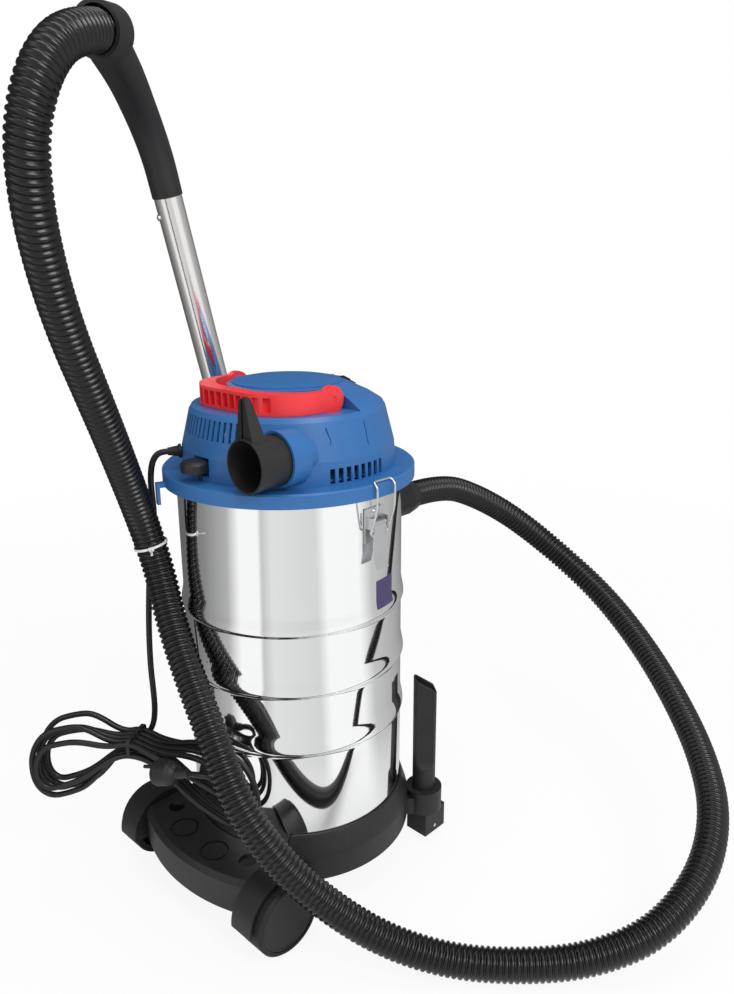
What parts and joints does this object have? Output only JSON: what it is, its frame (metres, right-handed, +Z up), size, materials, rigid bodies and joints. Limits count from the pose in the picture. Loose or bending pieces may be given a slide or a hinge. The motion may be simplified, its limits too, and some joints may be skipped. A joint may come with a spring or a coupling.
{
  "type": "wet and dry drum vacuum cleaner",
  "caption": "Wet and dry vacuum cleaner: a steel drum on a wheeled trolley, a latched motor head, a ribbed hose, a plated wand with grip and floor nozzle, and hand nozzles stored on board",
  "frame": {"origin": "on the floor under the drum's axis", "axes": "+Z is up along the drum's axis, +Y points to the rear wheels and the blower port, -Y to the suction inlet and the front casters, +X is the machine's left side seen from behind, where the wand stands"},
  "size_m": [0.9061, 0.9282, 1.0965],
  "materials": {
    "stainless": "polished stainless sheet",
    "blue": "moulded blue plastic, satin gloss",
    "red": "moulded red plastic",
    "black": "black moulded plastic, fine texture",
    "black_gloss": "black moulded plastic, smooth",
    "tyre": "hard rubber tread",
    "grey": "grey moulded plastic",
    "chrome": "bright plated tube",
    "steel": "zinc plated steel",
    "rubber": "soft black rubber",
    "label": "blank printed film",
    "nylon": "white nylon band",
    "filter": "pleated filter paper",
    "brass": "turned brass pins",
    "bristle": "dense brush strip",
    "float": "white hollow ball",
    "motor": "motor housing, dull grey",
    "aluminium": "pressed aluminium"
  },
  "bodies": {
    "trolley": {"trolley_base": "black", "rear_axle": "steel", "drum": "stainless", "inlet_fitting": "black", "inlet_gasket": "rubber", "inlet_nut": "black", "inlet_screws": "steel", "hose_cuff": "black_gloss", "suction_hose": "black_gloss", "head_base": "blue", "drum_seal": "rubber", "head_cover": "blue", "top_disc": "blue", "cover_screws": "steel", "handle_pins": "steel", "switch_frame": "black_gloss", "blank_label": "label", "cord_gland": "rubber", "power_cord": "rubber", "cord_hank": "rubber", "hank_tie": "black", "mains_plug": "black", "hose_tie": "nylon", "wand_upper": "chrome", "wand_lower": "chrome", "grip_elbow": "black", "nozzle_neck": "black", "filter_cage": "black", "filter_cartridge": "filter", "motor": "motor", "latch_plate_left": "steel", "latch_pin_left": "steel", "latch_plate_right": "steel", "latch_pin_right": "steel"},
    "rear_wheel_left": {"rear_wheel_left": "tyre", "wheel_cap_left": "black_gloss"},
    "rear_wheel_right": {"rear_wheel_right": "tyre", "wheel_cap_right": "black_gloss"},
    "caster_left": {"caster_fork_left": "black", "caster_axle_left": "steel"},
    "caster_right": {"caster_fork_right": "black", "caster_axle_right": "steel"},
    "caster_wheel_left": {"caster_wheel_left": "tyre"},
    "caster_wheel_right": {"caster_wheel_right": "tyre"},
    "handle": {"carry_handle": "red"},
    "latch_left": {"latch_lever_left": "steel"},
    "latch_right": {"latch_lever_right": "steel"},
    "bail_left": {"latch_bail_left": "steel"},
    "bail_right": {"latch_bail_right": "steel"},
    "shaker": {"shaker_knob": "black"},
    "rocker": {"switch_rocker": "black_gloss"},
    "corner_nozzle": {"corner_nozzle": "black"},
    "crevice_nozzle": {"crevice_nozzle": "black"},
    "lock_button": {"lock_button": "steel"},
    "floor_nozzle": {"floor_nozzle": "black", "floor_strips": "bristle"},
    "fan": {"motor_fan": "aluminium"},
    "float": {"float_ball": "float"}
  },
  "joints": [
    {"name": "wheel_left_roll", "type": "hinge", "parent": "trolley", "child": "rear_wheel_left", "pos_m": [0.141, 0.161, 0.049], "axis": [1, 0, 0], "continuous": true},
    {"name": "caster_left_swivel", "type": "hinge", "parent": "trolley", "child": "caster_left", "pos_m": [0.1322, -0.1322, 0.055], "axis": [0, 0, 1], "continuous": true},
    {"name": "caster_left_roll", "type": "hinge", "parent": "caster_left", "child": "caster_wheel_left", "pos_m": [0.1322, -0.1382, 0.018], "axis": [1, 0, 0], "continuous": true},
    {"name": "latch_left_lever", "type": "hinge", "parent": "trolley", "child": "latch_left", "pos_m": [0.1585, -0.005, 0.538], "axis": [0, -1, 0], "range_deg": [0, 120]},
    {"name": "latch_left_bail", "type": "hinge", "parent": "latch_left", "child": "bail_left", "pos_m": [0.1595, -0.005, 0.525], "axis": [0, -1, 0], "range_deg": [-150, 0]},
    {"name": "wheel_right_roll", "type": "hinge", "parent": "trolley", "child": "rear_wheel_right", "pos_m": [-0.141, 0.161, 0.049], "axis": [1, 0, 0], "continuous": true},
    {"name": "caster_right_swivel", "type": "hinge", "parent": "trolley", "child": "caster_right", "pos_m": [-0.1322, -0.1322, 0.055], "axis": [0, 0, 1], "continuous": true},
    {"name": "caster_right_roll", "type": "hinge", "parent": "caster_right", "child": "caster_wheel_right", "pos_m": [-0.1322, -0.1382, 0.018], "axis": [1, 0, 0], "continuous": true},
    {"name": "latch_right_lever", "type": "hinge", "parent": "trolley", "child": "latch_right", "pos_m": [-0.1585, -0.005, 0.538], "axis": [0, 1, 0], "range_deg": [0, 120]},
    {"name": "latch_right_bail", "type": "hinge", "parent": "latch_right", "child": "bail_right", "pos_m": [-0.1595, -0.005, 0.525], "axis": [0, 1, 0], "range_deg": [-150, 0]},
    {"name": "handle_fold", "type": "hinge", "parent": "trolley", "child": "handle", "pos_m": [0, 0.011, 0.685], "axis": [1, 0, 0], "range_deg": [0, 95]},
    {"name": "shaker_push", "type": "slide", "parent": "trolley", "child": "shaker", "axis": [0, 0, -1], "range_m": [0, 0.006], "stiffness_N_per_m": 600},
    {"name": "rocker_tilt", "type": "hinge", "parent": "trolley", "child": "rocker", "pos_m": [0, -0.0973, 0.6899], "axis": [1, 0, 0], "range_deg": [-6, 6]},
    {"name": "corner_nozzle_off", "type": "slide", "parent": "trolley", "child": "corner_nozzle", "axis": [0, 1, 0], "range_m": [0, 0.04]},
    {"name": "crevice_nozzle_lift", "type": "slide", "parent": "trolley", "child": "crevice_nozzle", "axis": [0, 0, 1], "range_m": [0, 0.12]},
    {"name": "lock_button_press", "type": "slide", "parent": "trolley", "child": "lock_button", "axis": [-0.2925, -0.9241, 0.246], "range_m": [0, 0.004], "stiffness_N_per_m": 500},
    {"name": "floor_nozzle_tilt", "type": "hinge", "parent": "trolley", "child": "floor_nozzle", "pos_m": [0.22393, -0.20394, 0.03], "axis": [1, 0, 0], "range_deg": [-40, 20]},
    {"name": "fan_spin", "type": "hinge", "parent": "trolley", "child": "fan", "pos_m": [0, 0, 0.6], "axis": [0, 0, 1], "continuous": true},
    {"name": "float_rise", "type": "slide", "parent": "trolley", "child": "float", "axis": [0, 0, 1], "range_m": [0, 0.05]}
  ],
  "couplings": [
    {"joint": "latch_left_bail", "follows": "latch_left_lever", "ratio": -1.23},
    {"joint": "latch_right_bail", "follows": "latch_right_lever", "ratio": -1.23}
  ]
}
